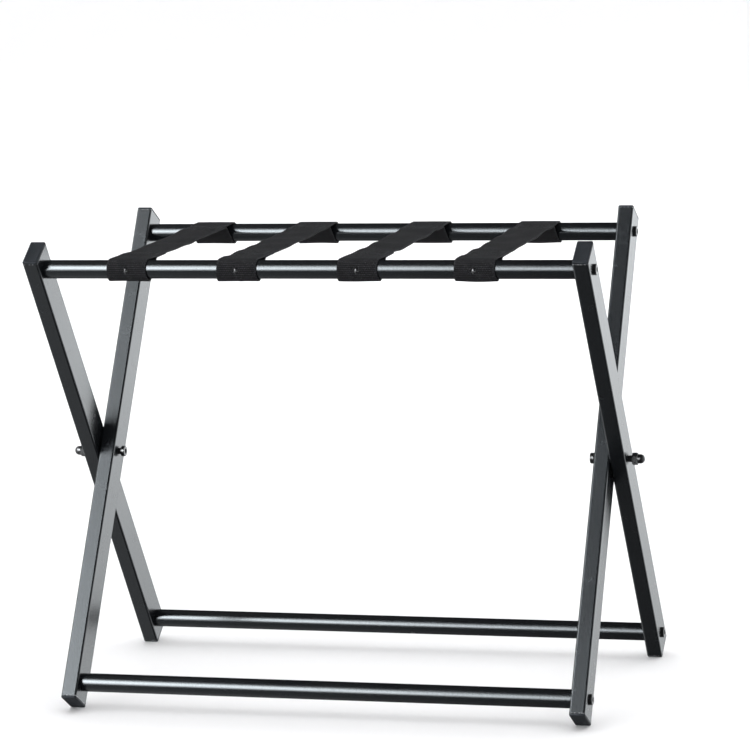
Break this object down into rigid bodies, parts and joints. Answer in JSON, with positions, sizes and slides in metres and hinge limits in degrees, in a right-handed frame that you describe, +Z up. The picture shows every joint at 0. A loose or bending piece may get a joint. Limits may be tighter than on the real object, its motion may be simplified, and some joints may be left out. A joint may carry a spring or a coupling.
{
  "type": "folding luggage rack",
  "caption": "Folding luggage rack: two crossed black tube frames on a pivot, joined over the top by webbing straps, with round rails and open space below.",
  "frame": {"origin": "on the floor, under the middle of the pivot line, at the middle of the open rack's footprint", "axes": "+X runs along the rails to the user's right, +Y from the front rail to the back rail, +Z up"},
  "size_m": [0.718, 0.3854, 0.565],
  "materials": {
    "black_coat": "semi-gloss black powder coat",
    "cap_plastic": "satin moulded plastic",
    "black_hardware": "glossy black plated",
    "plain_steel": "machined",
    "washer_nylon": "nylon",
    "strap_screw": "black plated, worn bright on the edges",
    "webbing": "ribbed woven webbing"
  },
  "bodies": {
    "outer_frame": {"left_outer_leg": "black_coat", "right_outer_leg": "black_coat", "front_top_rail": "black_coat", "back_bottom_rail": "black_coat", "front_top_rail_inserts": "plain_steel", "back_bottom_rail_inserts": "plain_steel", "front_top_rail_bolts": "black_hardware", "back_bottom_rail_bolts": "black_hardware", "left_outer_top_cap": "cap_plastic", "right_outer_top_cap": "cap_plastic", "left_outer_foot": "cap_plastic", "right_outer_foot": "cap_plastic", "left_pivot_bolt": "black_hardware", "right_pivot_bolt": "black_hardware", "left_pivot_nut": "black_hardware", "right_pivot_nut": "black_hardware", "left_pivot_washer": "washer_nylon", "right_pivot_washer": "washer_nylon", "strap_1": "webbing", "strap_2": "webbing", "strap_3": "webbing", "strap_4": "webbing", "front_strap_screws": "strap_screw"},
    "inner_frame": {"left_inner_leg": "black_coat", "right_inner_leg": "black_coat", "back_top_rail": "black_coat", "front_bottom_rail": "black_coat", "back_top_rail_inserts": "plain_steel", "front_bottom_rail_inserts": "plain_steel", "back_top_rail_bolts": "black_hardware", "front_bottom_rail_bolts": "black_hardware", "left_inner_top_cap": "cap_plastic", "right_inner_top_cap": "cap_plastic", "left_inner_foot": "cap_plastic", "right_inner_foot": "cap_plastic", "back_strap_screws": "strap_screw"}
  },
  "joints": [
    {"name": "fold", "type": "hinge", "parent": "outer_frame", "child": "inner_frame", "pos_m": [0, 0, 0.28232], "axis": [1, 0, 0], "range_deg": [0, 59.5], "deforming": ["strap_1", "strap_2", "strap_3", "strap_4"]}
  ]
}
